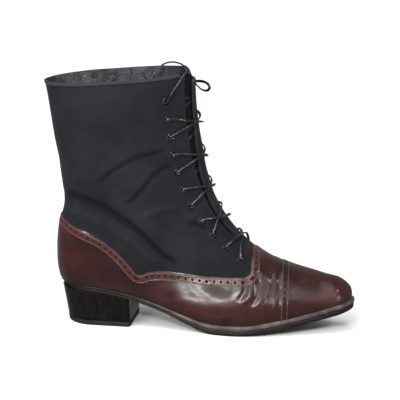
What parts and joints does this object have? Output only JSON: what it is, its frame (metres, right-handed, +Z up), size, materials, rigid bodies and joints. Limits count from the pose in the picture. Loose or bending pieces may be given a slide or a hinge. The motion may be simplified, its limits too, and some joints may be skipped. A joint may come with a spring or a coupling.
{
  "type": "lace-up ankle boot",
  "caption": "Right lace-up ankle boot with a dark cloth shaft, brown leather foxing, toe cap and wing, welted sole and stacked heel.",
  "frame": {"origin": "on the floor under the middle of the heel, at the centre of the heel's wearing face", "axes": "+X towards the toe, +Z up, the boot's outer (lateral) side at -Y"},
  "size_m": [0.2924, 0.0772, 0.2456],
  "materials": {
    "sole_leather": "smooth dark edge",
    "welt_leather": "lighter worn edge",
    "heel_black": "black edge dressing, half gloss",
    "lift_rubber": "matt",
    "insole_board": "matt",
    "upper_leather": "polished brown leather, with a dark cloth shaft above it",
    "tongue_cloth": "matt",
    "black_metal": "shiny black",
    "lace_leather": "smooth dark flat lace"
  },
  "bodies": {
    "root": {"outsole": "sole_leather", "welt": "welt_leather", "heel_block": "heel_black", "heel_top_lift": "lift_rubber", "insole": "insole_board", "upper": "upper_leather", "tongue": "tongue_cloth", "eyelet_lateral_1": "black_metal", "eyelet_lateral_2": "black_metal", "eyelet_lateral_3": "black_metal", "eyelet_lateral_4": "black_metal", "eyelet_lateral_5": "black_metal", "eyelet_lateral_6": "black_metal", "eyelet_lateral_7": "black_metal", "eyelet_lateral_8": "black_metal", "eyelet_lateral_9": "black_metal", "eyelet_lateral_10": "black_metal", "eyelet_lateral_11": "black_metal", "eyelet_medial_1": "black_metal", "eyelet_medial_2": "black_metal", "eyelet_medial_3": "black_metal", "eyelet_medial_4": "black_metal", "eyelet_medial_5": "black_metal", "eyelet_medial_6": "black_metal", "eyelet_medial_7": "black_metal", "eyelet_medial_8": "black_metal", "eyelet_medial_9": "black_metal", "eyelet_medial_10": "black_metal", "eyelet_medial_11": "black_metal", "lace_crossing_1": "lace_leather", "lace_crossing_2": "lace_leather", "lace_crossing_3": "lace_leather", "lace_crossing_4": "lace_leather", "lace_crossing_5": "lace_leather", "lace_end_lateral": "lace_leather", "lace_end_medial": "lace_leather"}
  },
  "joints": []
}
